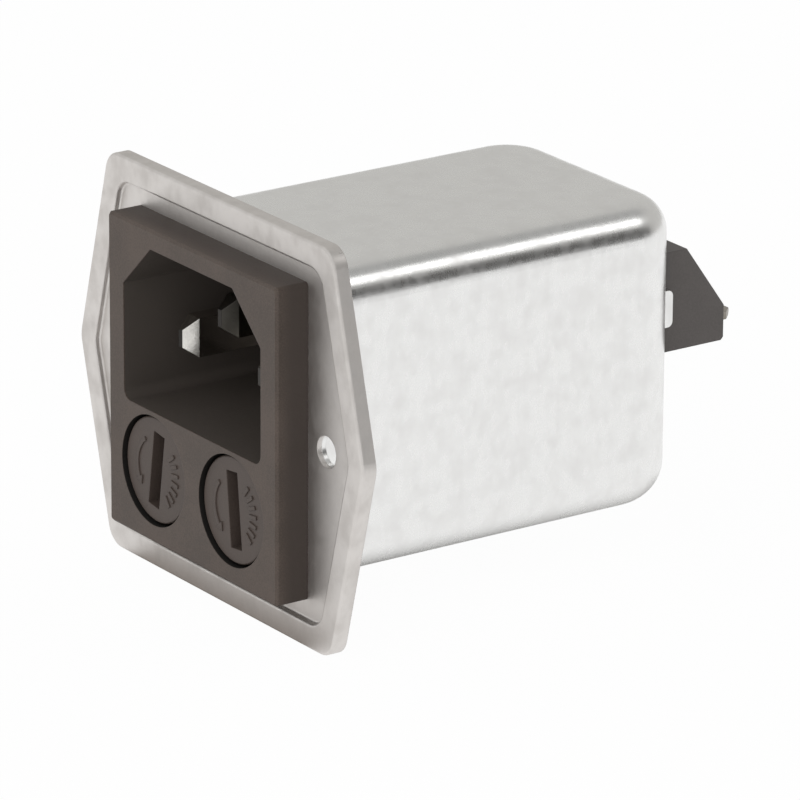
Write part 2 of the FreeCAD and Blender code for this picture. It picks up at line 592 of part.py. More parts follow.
for side, sign in SIDES:
    centre = f"{sign} * sizes.cap_pitch / 2"
    tilt = sheet.tilt_left if side == "left" else sheet.tilt_right

    cap = new_body("cap_" + side)
    rim = "sizes.cap_diameter / 2"
    turned(cap, "cap_form_" + side,
           [(CAP_FACE, "0"), (CAP_FACE, f"{rim} - sizes.head_bevel"),
            (f"{CAP_FACE} + sizes.head_bevel", rim),
            (HEAD_BACK, rim), (HEAD_BACK, "sizes.stem_diameter / 2"),
            (NECK_BACK, "sizes.stem_diameter / 2"), (NECK_BACK, "0")])
    sink(cap, "cap_slot_" + side,
         rectangle("-sizes.slot_width / 2", "sizes.slot_width / 2",
                   "-sizes.slot_length / 2", "sizes.slot_length / 2"),
         CAP_FACE, f"{CAP_FACE} + sizes.slot_depth")
    slab(cap, "cap_lugs_" + side,
         rectangle("-sizes.lug_width / 2", "sizes.lug_width / 2", f"-{LUG_RADIUS}", LUG_RADIUS),
         LUG_FRONT, LUG_BACK)
    turn = FreeCAD.Rotation(FreeCAD.Vector(0, 1, 0), tilt)
    cap.Placement = FreeCAD.Placement(FreeCAD.Vector(), turn)
    cap.setExpression("Placement.Base.x", centre)
    cap.setExpression("Placement.Base.z", "-sizes.cap_drop")
    keep("fuse_cap_" + side, cap)

    clip = new_body("clip_" + side)
    clip_bore = "(sizes.ferrule_diameter / 2 + sizes.clip_gap)"
    clip_back = f"({NECK_BACK} + sizes.clip_length)"
    turned(clip, "clip_form_" + side,
           [(NECK_BACK, "0"), (FUSE_FRONT, "0"), (FUSE_FRONT, clip_bore), (clip_back, clip_bore),
            (clip_back, "sizes.stem_diameter / 2"), (NECK_BACK, "sizes.stem_diameter / 2")],
           x=centre, z="-sizes.cap_drop")
    keep("fuse_clip_" + side, clip)

    ferrule_bore = "(sizes.ferrule_diameter / 2 - sizes.ferrule_sheet)"
    glass_outer = f"({ferrule_bore} - sizes.glass_gap)"
    glass_front = f"({FUSE_FRONT} + sizes.ferrule_end)"
    glass_back = f"({FUSE_BACK} - sizes.ferrule_end)"
    ends = []
    for end, outer_end, inner_end, toward in (("front", FUSE_FRONT, glass_front, "+"),
                                              ("back", FUSE_BACK, glass_back, "-")):
        ferrule = new_body(f"ferrule_{end}_{side}")
        mouth = f"({outer_end} {toward} sizes.ferrule_length)"
        turned(ferrule, f"ferrule_{end}_form_{side}",
               [(outer_end, "0"), (inner_end, "0"), (inner_end, ferrule_bore), (mouth, ferrule_bore),
                (mouth, "sizes.ferrule_diameter / 2"), (outer_end, "sizes.ferrule_diameter / 2")],
               x=centre, z="-sizes.cap_drop")
        ends.append(ferrule)
    ferrules = doc.addObject("Part::Compound", "ferrules_" + side)
    ferrules.Links = ends
    keep("fuse_ferrules_" + side, ferrules, solids=2)

    glass = new_body("glass_" + side)
    glass_inner = f"({glass_outer} - sizes.glass_wall)"
    turned(glass, "glass_form_" + side,
           [(glass_front, glass_inner), (glass_back, glass_inner), (glass_back, glass_outer),
            (glass_front, glass_outer)], x=centre, z="-sizes.cap_drop")
    keep("fuse_glass_" + side, glass)

    element = new_body("element_" + side)
    slab(element, "element_wire_" + side, circles("sizes.element_diameter", (centre, "-sizes.cap_drop")),
         glass_front, glass_back)
    keep("fuse_element_" + side, element)

    contact = new_body("contact_" + side)
    slab(contact, "contact_button_" + side, circles("sizes.contact_diameter", (centre, "-sizes.cap_drop")),
         CONTACT_FRONT, TUBE_REAR)
    slab(contact, "contact_tail_" + side,
         rectangle(f"{centre} - {sign} * sizes.contact_diameter / 2",
                   f"{centre} + {sign} * (sizes.lead_offset + sizes.lead_diameter)",
                   "-sizes.cap_drop - sizes.contact_width / 2", "-sizes.cap_drop + sizes.contact_width / 2"),
         TUBE_REAR, CONTACT_BACK)
    keep("fuse_end_contact_" + side, contact)

    wire = "line" if side == "left" else "neutral"
    lead = new_body("lead_" + side)
    slab(lead, "lead_wire_" + side,
         circles("sizes.lead_diameter", (f"{centre} + {sign} * sizes.lead_offset", "-sizes.cap_drop")),
         CONTACT_BACK, BOARD_FRONT)
    keep(wire + "_lead", lead)

    link = new_body("link_" + side)
    tube_side = f"{sign} * (sizes.cap_pitch / 2 + {TUBE_RADIUS})"
    strip_side = f"{sign} * (sizes.cap_pitch / 2 + {TUBE_RADIUS} + sizes.link_sheet)"
    pin_side = f"{sign} * (sizes.pin_pitch / 2 + sizes.pin_thick / 2)"
    arm_bottom = "(sizes.pin_level - sizes.link_sheet / 2)"
    arm_top = "(sizes.pin_level + sizes.link_sheet / 2)"
    foot = "(-sizes.cap_drop - sizes.link_width / 2)"
    riser_back = f"({PIN_REAR} - sizes.finger_clearance)"
    slab(link, "link_riser_" + side,
         polygon([(tube_side, foot), (strip_side, foot), (strip_side, arm_top), (pin_side, arm_top),
                  (pin_side, arm_bottom), (tube_side, arm_bottom)]),
         f"{riser_back} - sizes.link_width", riser_back)
    slab(link, "link_strip_" + side,
         rectangle(tube_side, strip_side, foot, "-sizes.cap_drop + sizes.link_width / 2"),
         "sizes.spigot_depth + 2 * sizes.finger_clearance", riser_back)
    slab(link, "link_finger_" + side,
         rectangle(f"{sign} * (sizes.cap_pitch / 2 + {BORE_RADIUS})", strip_side,
                   "-sizes.cap_drop - sizes.finger_width / 2", "-sizes.cap_drop + sizes.finger_width / 2"),
         "sizes.spigot_depth + 2 * sizes.finger_clearance",
         "sizes.spigot_depth + 2 * sizes.finger_clearance + sizes.finger_length")
    keep("fuse_link_" + side, link)


# Terminal shroud: stepped behind the can's rear wall, with a roof, two cheeks and a divider round the two
# push-on blades. Its end slants from the roof down to a low lip.

block = new_body("block")
BLOCK_PROFILE = [(CAN_INNER_REAR, BLOCK_BOTTOM), (BLOCK_END, BLOCK_BOTTOM),
                 (BLOCK_END, f"{BLOCK_BOTTOM} + sizes.block_lip"),
                 ("sizes.can_depth + sizes.block_flat", BLOCK_TOP), (CAN_INNER_REAR, BLOCK_TOP)]
across(block, "shroud", polygon(BLOCK_PROFILE), "YZ_Plane", "0", "sizes.block_width")
soften(block, "shroud_chamfer", "Chamfer", "sizes.block_chamfer",
       lambda edge: at_depth(sheet.can_depth + sheet.block_reach)(edge)
       and abs(edge.BoundBox.ZMax + sheet.block_drop) < 1e-4)
slab(block, "block_base",
     rectangle(f"-{CAN_FLAT_SIDE}", CAN_FLAT_SIDE,
               f"{BLOCK_BOTTOM} - sizes.base_bottom_lip", f"{BLOCK_TOP} + sizes.base_top_lip"),
     BASE_FRONT, CAN_INNER_REAR)
for side, sign in SIDES:
    sink(block, "shroud_cavity_" + side,
         rectangle(f"{sign} * sizes.shroud_divider / 2", f"{sign} * {CAVITY_SIDE}",
                   f"{BLOCK_BOTTOM} + sizes.shroud_wall", f"{BLOCK_TOP} - sizes.shroud_wall"),
         CAVITY_FRONT, BLOCK_END)
    half_wide = "(sizes.tab_width / 2 + sizes.tab_clearance)"
    half_tall = "(sizes.tab_thick / 2 + sizes.tab_clearance)"
    sink(block, "tab_slot_" + side,
         rectangle(f"{sign} * {TAB_X} - {half_wide}", f"{sign} * {TAB_X} + {half_wide}",
                   f"sizes.tab_level - {half_tall}", f"sizes.tab_level + {half_tall}"),
         BASE_FRONT, CAVITY_FRONT)
keep("terminal_block", block)


# Push-on blades: flat, with cut corners and a small hole, held in the shroud and soldered to the board.

for side, sign in SIDES:
    wire = "line" if side == "left" else "neutral"
    tab = new_body("tab_" + side)
    left = f"{sign} * {TAB_X} - sizes.tab_width / 2"
    right = f"{sign} * {TAB_X} + sizes.tab_width / 2"
    across(tab, "tab_form_" + side,
           polygon([(left, BOARD_FRONT), (right, BOARD_FRONT), (right, f"{TAB_END} - sizes.tab_chamfer"),
                    (f"{right} - sizes.tab_chamfer", TAB_END), (f"{left} + sizes.tab_chamfer", TAB_END),
                    (left, f"{TAB_END} - sizes.tab_chamfer")]),
           "XY_Plane", "sizes.tab_level", "sizes.tab_thick")
    across(tab, "tab_hole_" + side,
           circles("sizes.tab_hole", (f"{sign} * {TAB_X}", f"{TAB_END} - sizes.tab_hole_set_back")),
           "XY_Plane", "sizes.tab_level", "2 * sizes.tab_thick", kind="Pocket")
    soften(tab, "tab_bevel_" + side, "Chamfer", "sizes.tab_bevel",
           lambda edge: at_depth(tab.Shape.BoundBox.YMax)(edge) and edge.BoundBox.ZLength < 1e-6)
    keep(wire + "_tab", tab)


# Filter board and what stands on it: the choke, the box capacitor, two discs and a resistor.

board = new_body("board")
slab(board, "board_sheet",
     rectangle(f"-({CAN_INNER_SIDE} - sizes.board_side_gap)", f"{CAN_INNER_SIDE} - sizes.board_side_gap",
               f"{CAN_INNER_BOTTOM} + sizes.board_end_gap", f"{CAN_INNER_TOP} - sizes.board_end_gap"),
     BOARD_FRONT, BASE_FRONT)
soften(board, "board_corners", "Fillet", "sizes.board_corner", lengthwise)
for side, sign in SIDES:
    half_wide = "(sizes.tab_width / 2 + sizes.tab_clearance)"
    half_tall = "(sizes.tab_thick / 2 + sizes.tab_clearance)"
    sink(board, "board_slot_" + side,
         rectangle(f"{sign} * {TAB_X} - {half_wide}", f"{sign} * {TAB_X} + {half_wide}",
                   f"sizes.tab_level - {half_tall}", f"sizes.tab_level + {half_tall}"),
         BOARD_FRONT, BASE_FRONT)
keep("filter_board", board)

CORE_BACK = f"({BOARD_FRONT} - sizes.winding_layer - sizes.winding_gap)"
CORE_FRONT = f"({CORE_BACK} - sizes.core_height)"
core = new_body("core")
turned(core, "core_ring", [(CORE_FRONT, "sizes.core_inner / 2"), (CORE_BACK, "sizes.core_inner / 2"),
                           (CORE_BACK, "sizes.core_outer / 2"), (CORE_FRONT, "sizes.core_outer / 2")],
       z="sizes.choke_level")
keep("choke_core", core)


def wound(body, name, sign, skin, kind, turn):
    """Turns the core's section, grown by a skin, evenly about one side of the core."""
    outline = sketch_on(body, name + "_outline", "XY_Plane", "sizes.choke_level")
    rectangle(f"{sign} * (sizes.core_inner / 2 - {skin})", f"{sign} * (sizes.core_outer / 2 + {skin})",
              f"{CORE_FRONT} - {skin}", f"{CORE_BACK} + {skin}")(outline)
    feature = body.newObject("PartDesign::" + kind, name)
    feature.Profile = outline
    feature.ReferenceAxis = (outline, ["V_Axis"])
    feature.Midplane = True
    feature.setExpression("Angle", turn)


for side, sign in SIDES:
    wire = "line" if side == "left" else "neutral"
    winding = new_body("winding_" + side)
    wound(winding, "winding_outside_" + side, sign, "(sizes.winding_layer + sizes.winding_gap)",
          "Revolution", "sizes.winding_span")
    wound(winding, "winding_inside_" + side, sign, "sizes.winding_gap", "Groove", "360")
    keep("choke_winding_" + wire, winding)

box_cap = new_body("box_cap")
slab(box_cap, "box_cap_case",
     rectangle("-sizes.box_cap_width / 2", "sizes.box_cap_width / 2",
               "sizes.box_cap_level - sizes.box_cap_height / 2",
               "sizes.box_cap_level + sizes.box_cap_height / 2"),
     f"{BOARD_FRONT} - sizes.box_cap_depth", BOARD_FRONT)
soften(box_cap, "box_cap_edges", "Fillet", "sizes.box_cap_round", lengthwise)
keep("x_capacitor", box_cap)

DISC_X = "(sizes.core_outer / 2 + sizes.winding_layer + sizes.winding_gap"
DISC_X += " + sizes.disc_cap_gap + sizes.disc_cap_thick / 2)"
for side, sign in SIDES:
    wire = "line" if side == "left" else "neutral"
    disc = new_body("disc_" + side)
    across(disc, "disc_form_" + side,
           circles("sizes.disc_cap_diameter",
                   (f"{BOARD_FRONT} - sizes.seat_gap - sizes.disc_cap_diameter / 2", "sizes.choke_level")),
           "YZ_Plane", f"{sign} * {DISC_X}", "sizes.disc_cap_thick")
    soften(disc, "disc_round_" + side, "Chamfer", "sizes.disc_cap_round",
           lambda edge: edge.BoundBox.XLength < 1e-6)
    keep("y_capacitor_" + wire, disc)

resistor = new_body("resistor")
across(resistor, "resistor_form",
       circles("sizes.resistor_diameter",
               (f"{BOARD_FRONT} - sizes.seat_gap - sizes.resistor_diameter / 2", "sizes.resistor_level")),
       "YZ_Plane", "0", "sizes.resistor_length")
keep("bleed_resistor", resistor)


# Earth parts: a strap from the earth blade to the can's roof, and a push-on blade riveted to its rear wall.

strap = new_body("strap")
strap_low = "(sizes.pin_level + sizes.earth_lift - sizes.pin_height / 2)"
across(strap, "strap_form",
       polygon([(PIN_REAR, strap_low), (f"{PIN_REAR} + sizes.strap_sheet", strap_low),
                (f"{PIN_REAR} + sizes.strap_sheet", f"{CAN_INNER_TOP} - sizes.strap_sheet"),
                (f"{PIN_REAR} + sizes.strap_foot", f"{CAN_INNER_TOP} - sizes.strap_sheet"),
                (f"{PIN_REAR} + sizes.strap_foot", CAN_INNER_TOP), (PIN_REAR, CAN_INNER_TOP)]),
       "YZ_Plane", "0", "sizes.strap_width")
keep("earth_strap", strap)

earth = new_body("earth")
EARTH_X = "-sizes.earth_tab_offset"
across(earth, "earth_tab_form",
       polygon([("sizes.can_depth", "-sizes.earth_tab_bottom"),
                ("sizes.can_depth + sizes.earth_tab_reach", "-sizes.earth_tab_bottom"),
                ("sizes.can_depth + sizes.earth_tab_reach", "-sizes.earth_tab_bottom + sizes.tab_thick"),
                ("sizes.can_depth + sizes.tab_thick", "-sizes.earth_tab_bottom + sizes.tab_thick"),
                ("sizes.can_depth + sizes.tab_thick", "-sizes.earth_tab_top"),
                ("sizes.can_depth", "-sizes.earth_tab_top")]),
       "YZ_Plane", EARTH_X, "sizes.tab_width")
soften(earth, "earth_tab_corners", "Chamfer", "sizes.tab_chamfer",
       lambda edge: upright(edge) and at_depth(sheet.can_depth + sheet.earth_tab_reach)(edge))
soften(earth, "earth_tab_bend_outside", "Fillet", "sizes.earth_tab_bend + sizes.tab_thick",
       lambda edge: at_depth(sheet.can_depth)(edge)
       and abs(edge.BoundBox.ZMax + sheet.earth_tab_bottom) < 1e-4)
soften(earth, "earth_tab_bend_inside", "Fillet", "sizes.earth_tab_bend",
       lambda edge: at_depth(sheet.can_depth + sheet.tab_thick)(edge)
       and abs(edge.BoundBox.ZMax + sheet.earth_tab_bottom - sheet.tab_thick) < 1e-4)
across(earth, "earth_tab_hole",
       circles("sizes.tab_hole",
               (EARTH_X, "sizes.can_depth + sizes.earth_tab_reach - sizes.tab_hole_set_back")),
       "XY_Plane", "-sizes.earth_tab_bottom", "2 * sizes.tab_thick", kind="Pocket")
sink(earth, "earth_tab_rivet_hole",
     circles("sizes.rivet_diameter + 2 * sizes.rivet_clearance", (EARTH_X, "sizes.rivet_level")),
     "sizes.can_depth", "sizes.can_depth + sizes.tab_thick")
keep("earth_tab", earth)

rivet = new_body("rivet")
RIVET_BACK = "(sizes.can_depth + sizes.tab_thick)"
turned(rivet, "rivet_form",
       [(f"{CAN_INNER_REAR} - sizes.rivet_head_thick", "0"),
        (f"{CAN_INNER_REAR} - sizes.rivet_head_thick", "sizes.rivet_head / 2"),
        (CAN_INNER_REAR, "sizes.rivet_head / 2"), (CAN_INNER_REAR, "sizes.rivet_diameter / 2"),
        (RIVET_BACK, "sizes.rivet_diameter / 2"), (RIVET_BACK, "sizes.rivet_head / 2"),
        (f"{RIVET_BACK} + sizes.rivet_head_thick", "sizes.rivet_head / 2"),
        (f"{RIVET_BACK} + sizes.rivet_head_thick", "0")], x=EARTH_X, z="sizes.rivet_level")
keep("earth_rivet", rivet)


# Every feature must have computed, and every sub-part must be whole, before anything is written.

doc.recompute()
for thing in doc.Objects:
    if "Invalid" in thing.State or "Error" in thing.State:
        raise RuntimeError(f"{thing.Name} did not compute: {thing.State}")
for label, (thing, solids) in pieces.items():
    shape = thing.Shape
    if shape.isNull() or not shape.isValid() or len(shape.Solids) != solids:
        raise RuntimeError(f"{label} is not whole")

os.makedirs("parts", exist_ok=True)
for label, (thing, solids) in pieces.items():
    thing.Shape.exportStep(f"parts/{label}.step")
print(len(pieces), "sub-parts written")
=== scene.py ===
import json
import math

import bpy
from mathutils import Matrix, Vector


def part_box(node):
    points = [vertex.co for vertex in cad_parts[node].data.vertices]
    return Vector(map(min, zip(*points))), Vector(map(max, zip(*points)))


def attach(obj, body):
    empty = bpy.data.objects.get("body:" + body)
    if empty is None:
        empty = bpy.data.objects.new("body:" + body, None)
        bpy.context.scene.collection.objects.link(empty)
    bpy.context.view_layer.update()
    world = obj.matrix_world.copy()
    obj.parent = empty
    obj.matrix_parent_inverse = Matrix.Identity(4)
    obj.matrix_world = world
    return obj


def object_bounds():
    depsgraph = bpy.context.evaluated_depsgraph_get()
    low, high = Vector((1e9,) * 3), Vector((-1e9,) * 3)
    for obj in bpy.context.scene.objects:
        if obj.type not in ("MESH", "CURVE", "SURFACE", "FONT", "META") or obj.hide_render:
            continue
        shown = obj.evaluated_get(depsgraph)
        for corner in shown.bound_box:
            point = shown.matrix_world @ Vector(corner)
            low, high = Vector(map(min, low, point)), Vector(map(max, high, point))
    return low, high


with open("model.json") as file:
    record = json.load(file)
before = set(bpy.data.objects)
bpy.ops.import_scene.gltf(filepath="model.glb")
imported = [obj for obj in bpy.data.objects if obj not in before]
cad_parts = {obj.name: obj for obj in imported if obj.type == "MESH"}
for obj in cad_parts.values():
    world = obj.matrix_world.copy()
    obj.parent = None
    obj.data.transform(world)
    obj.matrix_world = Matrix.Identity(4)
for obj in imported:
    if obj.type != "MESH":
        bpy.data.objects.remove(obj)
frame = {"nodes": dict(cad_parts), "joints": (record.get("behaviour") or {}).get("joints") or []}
cad_low, cad_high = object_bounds()

# Socket moulding: the bezel, socket shell and fuse tubes are one injection moulding in black thermoplastic.
# The tool's spark-eroded faces leave a fine even texture, and the corners come out slightly eased.
# Snap noses behind the plate's window hold it.

MM = 0.001
EASING_SAMPLES = 6


class Shade:
    """One socket of a finish. An expression on shades adds its Math nodes."""

    def __init__(self, finish, socket):
        self.finish, self.socket = finish, socket

    def combine(self, operation, *values):
        return self.finish.node("ShaderNodeMath", {"operation": operation}, dict(enumerate(values)))

    def __add__(self, other):
        return self.combine("ADD", self, other)

    def __sub__(self, other):
        return self.combine("SUBTRACT", self, other)

    def __rsub__(self, other):
        return self.combine("SUBTRACT", other, self)

    def __mul__(self, other):
        return self.combine("MULTIPLY", self, other)

    def __abs__(self):
        return self.combine("ABSOLUTE", self)

    __radd__, __rmul__ = __add__, __mul__


class Finish:
    """One material, written from its texture to its surface. Colours are three numbers or a shade."""

    def __init__(self, name):
        self.material = bpy.data.materials.new(name)
        self.material.use_nodes = True
        self.tree = self.material.node_tree
        self.tree.nodes.clear()

    def node(self, kind, settings=None, sockets=None, out=0):
        """Adds a node: its settings first, then the values or links of its sockets."""
        made = self.tree.nodes.new(kind)
        for key, value in (settings or {}).items():
            setattr(made, key, value)
        for key, value in (sockets or {}).items():
            if isinstance(value, Shade):
                self.tree.links.new(value.socket, made.inputs[key])
            else:
                made.inputs[key].default_value = value
        return Shade(self, made.outputs[out]) if made.outputs else None

    def place(self, stretch=(1, 1, 1)):
        """The point on the piece in millimetres, stretched along each axis."""
        point = self.node("ShaderNodeTexCoord", out="Object")
        scale = tuple(1 / (MM * s) for s in stretch)
        return self.node("ShaderNodeVectorMath", {"operation": "MULTIPLY"}, {0: point, 1: scale})

    def along(self, axis, point=None):
        """One coordinate of a point, or of the place on the piece in millimetres."""
        return self.node("ShaderNodeSeparateXYZ", {}, {0: point or self.place()}, out=axis)

    def cloud(self, size, stretch=(1, 1, 1), detail=2.0):
        """Soft patches about as wide as a size in millimetres, from 0 to 1."""
        return self.node("ShaderNodeTexNoise", {},
                         {"Vector": self.place(stretch), "Scale": 1 / size, "Detail": detail})

    def band(self, value, low, high):
        """Nought below low, one above high, smooth between."""
        return self.node("ShaderNodeMapRange", {"interpolation_type": "SMOOTHSTEP"},
                         {"Value": value, "From Min": low, "From Max": high})

    def within(self, value, limit, fade):
        """One up to a limit, falling smoothly to nought over a fade."""
        return 1 - self.band(value, limit, limit + fade)

    def blend(self, share, first, second):
        """A colour between two."""
        first, second = (hue if isinstance(hue, Shade) else (*hue, 1) for hue in (first, second))
        return self.node("ShaderNodeMix", {"data_type": "RGBA"}, {0: share, 6: first, 7: second}, out=2)

    def relief(self, height, depth, edge):
        """The surface's tilt from a height in 0 to 1 of a depth in mm, with edges eased by a radius in mm."""
        eased = self.node("ShaderNodeBevel", {"samples": EASING_SAMPLES}, {"Radius": edge * MM})
        return self.node("ShaderNodeBump", {},
                         {"Height": height, "Strength": 1.0, "Distance": depth * MM, "Normal": eased})

    def coat(self, **sockets):
        """The surface itself, from the sockets of the principled shader in snake case."""
        named = {key.replace("_", " ").title().replace("Ior", "IOR"): value for key, value in sockets.items()}
        shader = self.node("ShaderNodeBsdfPrincipled", {}, named)
        self.node("ShaderNodeOutputMaterial", {}, {"Surface": shader})
        return self.material


def uneven(cloud, amount):
    """A cloud as a swing of an amount about nought."""
    return (cloud - 0.5) * amount


def dress(finish, *names):
    """Gives CAD pieces a finish in place of the plain one."""
    for name in names:
        slots = frame["nodes"][name].data.materials
        slots.clear()
        slots.append(finish)


SHINE_OF_PLASTIC = 0.3
SPARK_SIZE, SPARK_DETAIL, SPARK_DEPTH, SPARK_ROUGH = 0.16, 3.0, 0.010, 0.12
FLOW_SIZE, FLOW_ROUGH = 5.0, 0.14
FLOW_SHARE, SPARK_SHARE = 0.6, 0.8
PALE_FROM, PALE_TO = 0.45, 0.95


def moulded(name, dark, pale, gloss, edge, hollows=()):
    """Black moulding with a fine texture and faint flow patches. A hollow's mask gives it another colour,
    such as painted shade.
    """
    made = Finish(name)
    spark = made.cloud(SPARK_SIZE, detail=SPARK_DETAIL)
    flow = made.cloud(FLOW_SIZE)
    colour = made.blend(made.band(flow * FLOW_SHARE + spark * SPARK_SHARE, PALE_FROM, PALE_TO), dark, pale)
    rough = gloss + uneven(flow, FLOW_ROUGH) + uneven(spark, SPARK_ROUGH)
    for inside, shade in hollows:
        colour = made.blend(inside(made), colour, shade)
    return made.coat(base_color=colour, roughness=rough, specular_ior_level=SHINE_OF_PLASTIC,
                     normal=made.relief(spark, SPARK_DEPTH, edge))


LIP = 0.05
# The bore round each cap is painted near black, as shade in the gap round the cap.
CAP_BORE, BORE_PAINTED_SHADE = 5.7, (0.012, 0.011, 0.010)
RECESS_SIDE, RECESS_LOW, RECESS_EDGE, RECESS_FADE = 12.3, -2.7, 1.8, 0.20
RECESS_GREY = (0.073, 0.062, 0.054)
# The bezel's flanks are painted darker towards the plate, as shade.
FLANK_DEPTH, FLANK_PAINTED_SHADE = 2.0, (0.054, 0.042, 0.036)
cap_hubs = {joint["child"].removeprefix("cap_"): Vector(joint["pos_m"]) / MM
            for joint in frame["joints"] if joint["child"].startswith("cap_")}
bezel_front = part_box("inlet_body")[0].y / MM
bezel_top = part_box("inlet_body")[1].z / MM


def in_cap_bore_painted_shade(hub):
    """A mask of the bore round one fuse cap, which is painted near black as shade."""
    def mask(made):
        level = made.node("ShaderNodeVectorMath", {"operation": "MULTIPLY"}, {0: made.place(), 1: (1, 0, 1)})
        radius = made.node("ShaderNodeVectorMath", {"operation": "DISTANCE"},
                           {0: level, 1: (hub.x, 0, hub.z)}, out="Value")
        sunk = made.band(made.along("Y"), bezel_front, bezel_front + LIP)
        return made.within(radius, CAP_BORE, LIP) * sunk
    return mask


def in_recess(made):
    """A mask of the socket's recess, whose walls are more even in colour than the bezel."""
    across, depth, up = (made.along(axis) for axis in "XYZ")
    wide = made.within(abs(across), RECESS_SIDE, LIP)
    tall = made.band(up, RECESS_LOW - LIP, RECESS_LOW) * made.within(up, bezel_top - RECESS_EDGE, LIP)
    return wide * tall * made.band(depth, bezel_front + LIP, bezel_front + RECESS_FADE)


def in_flank_painted_shade(made):
    """A mask of the bezel's flanks, painted darker towards the plate as shade."""
    return made.band(made.along("Y"), bezel_front + LIP, bezel_front + FLANK_DEPTH)


BEZEL_DARK, BEZEL_PALE = (0.060, 0.046, 0.038), (0.094, 0.072, 0.060)
TOOL_GLOSS, TOOL_EDGE = 0.50, 0.12
# The flanks get painted shade; the recess gets its own even grey.
bezel_hollows = [(in_flank_painted_shade, FLANK_PAINTED_SHADE), (in_recess, RECESS_GREY)]
# The cap bores get painted shade.
bezel_hollows += [(in_cap_bore_painted_shade(hub), BORE_PAINTED_SHADE) for hub in cap_hubs.values()]
dress(moulded("bezel_moulding", BEZEL_DARK, BEZEL_PALE, TOOL_GLOSS, TOOL_EDGE, bezel_hollows), "inlet_body")

# Contact blades: stamped brass, tapered at the tip and nickel plated, pressed into the moulding.
# Two are bright, with fine marks along the blade, and the earth blade is painted dark as shade from the
# recess.
# The cut tip of each blade is rougher, and painted dark as shade.

STROKE_SIZE, STROKE_STRETCH, STROKE_DEPTH = 0.12, (1, 12, 1), 0.002
PLATING_SIZE, PLATING_FROM, PLATING_TO = 2.2, 0.35, 0.75
PLATING_ROUGH, PLATING_EDGE = 0.10, 0.08
# The cut tip's colour is painted shade; its roughness is its own.
TIP_DEPTH, TIP_ROUGH, TIP_PAINTED_SHADE = 0.06, 0.3, (0.060, 0.056, 0.052)


def plated(name, pale, dark, gloss, tip=None):
    """Bright plating on stamped metal, with fine marks along the piece and a cut face at a level in mm,
    painted dark as shade.
    """
    made = Finish(name)
    strokes = made.cloud(STROKE_SIZE, stretch=STROKE_STRETCH)
    patch = made.cloud(PLATING_SIZE)
    colour = made.blend(made.band(patch, PLATING_FROM, PLATING_TO), pale, dark)
    rough = gloss + uneven(strokes, PLATING_ROUGH) + uneven(patch, PLATING_ROUGH)
    if tip is not None:
        cut = made.within(made.along("Y"), tip + TIP_DEPTH / 2, TIP_DEPTH / 2)
        # The cut face is painted dark as shade.
        colour = made.blend(cut, colour, TIP_PAINTED_SHADE)
        rough = rough + cut * TIP_ROUGH
    return made.coat(base_color=colour, metallic=1.0, roughness=rough,
                     normal=made.relief(strokes, STROKE_DEPTH, PLATING_EDGE))


NICKEL_PALE, NICKEL_DARK = (0.80, 0.78, 0.74), (0.68, 0.66, 0.62)
# The earth blade's colours are painted dark, as shade from the recess.
EARTH_PAINTED_SHADE_PALE, EARTH_PAINTED_SHADE_DARK = (0.14, 0.132, 0.116), (0.10, 0.094, 0.083)
BLADE_GLOSS, EARTH_GLOSS = 0.14, 0.30
blade_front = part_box("line_pin")[0].y / MM
dress(plated("blade_nickel", NICKEL_PALE, NICKEL_DARK, BLADE_GLOSS, tip=blade_front),
      "line_pin", "neutral_pin")
dress(plated("earth_nickel_painted_shade", EARTH_PAINTED_SHADE_PALE, EARTH_PAINTED_SHADE_DARK, EARTH_GLOSS, tip=blade_front), "earth_pin")

# Fuse caps: slotted bayonet caps in a smoother grade of the same black plastic, each with a nickel clip.
# A screwdriver in the slot turns the cap a short way, and it comes out with its fuse.

CAP_DARK, CAP_PALE = (0.062, 0.047, 0.040), (0.078, 0.060, 0.051)
CAP_GLOSS, CAP_EDGE = 0.46, 0.16
CLIP_GLOSS = 0.22
cap_moulding = moulded("cap_moulding", CAP_DARK, CAP_PALE, CAP_GLOSS, CAP_EDGE)
clip_nickel = plated("clip_nickel", NICKEL_PALE, NICKEL_DARK, CLIP_GLOSS)
dress(cap_moulding, "fuse_cap_left", "fuse_cap_right")
dress(clip_nickel, "fuse_clip_left", "fuse_clip_right")

# Marks on the caps: a raised arrow on one side of the slot and a row of ridges on the other.
# They are part of each cap's moulding and show which way the cap is turned.

MARK_RISE, MARK_ROOT = 0.12, 0.05
ARROW_RADIUS, ARROW_WIDTH, ARROW_HEAD = 3.35, 0.42, 0.62
ARROW_START, ARROW_END, ARROW_STEPS = 132.0, 214.0, 14
ARROW_POINT = 228.0
RIDGE_INNER, RIDGE_OUTER, RIDGE_WIDTH = 2.75, 3.95, 0.40
RIDGE_ANGLES = (-46.0, -31.0, -16.0, -1.0, 14.0, 29.0, 44.0)
CAP_TILT = {"left": 8.0, "right": -6.0}


def polar(radius, angle):
    """A point on a cap's face, from its middle, in mm, with the angle from the right in degrees."""
    turn = math.radians(angle)
    return Vector((radius * math.cos(turn), 0.0, radius * math.sin(turn)))


def arrow_outline():
    """The curved arrow as one outline."""
    steps = [ARROW_START + (ARROW_END - ARROW_START) * k / ARROW_STEPS for k in range(ARROW_STEPS + 1)]
    outer = [polar(ARROW_RADIUS + ARROW_WIDTH / 2, angle) for angle in steps]
    inner = [polar(ARROW_RADIUS - ARROW_WIDTH / 2, angle) for angle in reversed(steps)]
    head = [polar(ARROW_RADIUS + ARROW_HEAD, ARROW_END), polar(ARROW_RADIUS, ARROW_POINT),
            polar(ARROW_RADIUS - ARROW_HEAD, ARROW_END)]
    return outer + head + inner


def ridge_outline(angle):
    """One short ridge that points to the middle of the cap."""
    across = polar(RIDGE_WIDTH / 2, angle + 90)
    ends = polar(RIDGE_INNER, angle), polar(RIDGE_OUTER, angle)
    return [ends[0] - across, ends[1] - across, ends[1] + across, ends[0] + across]


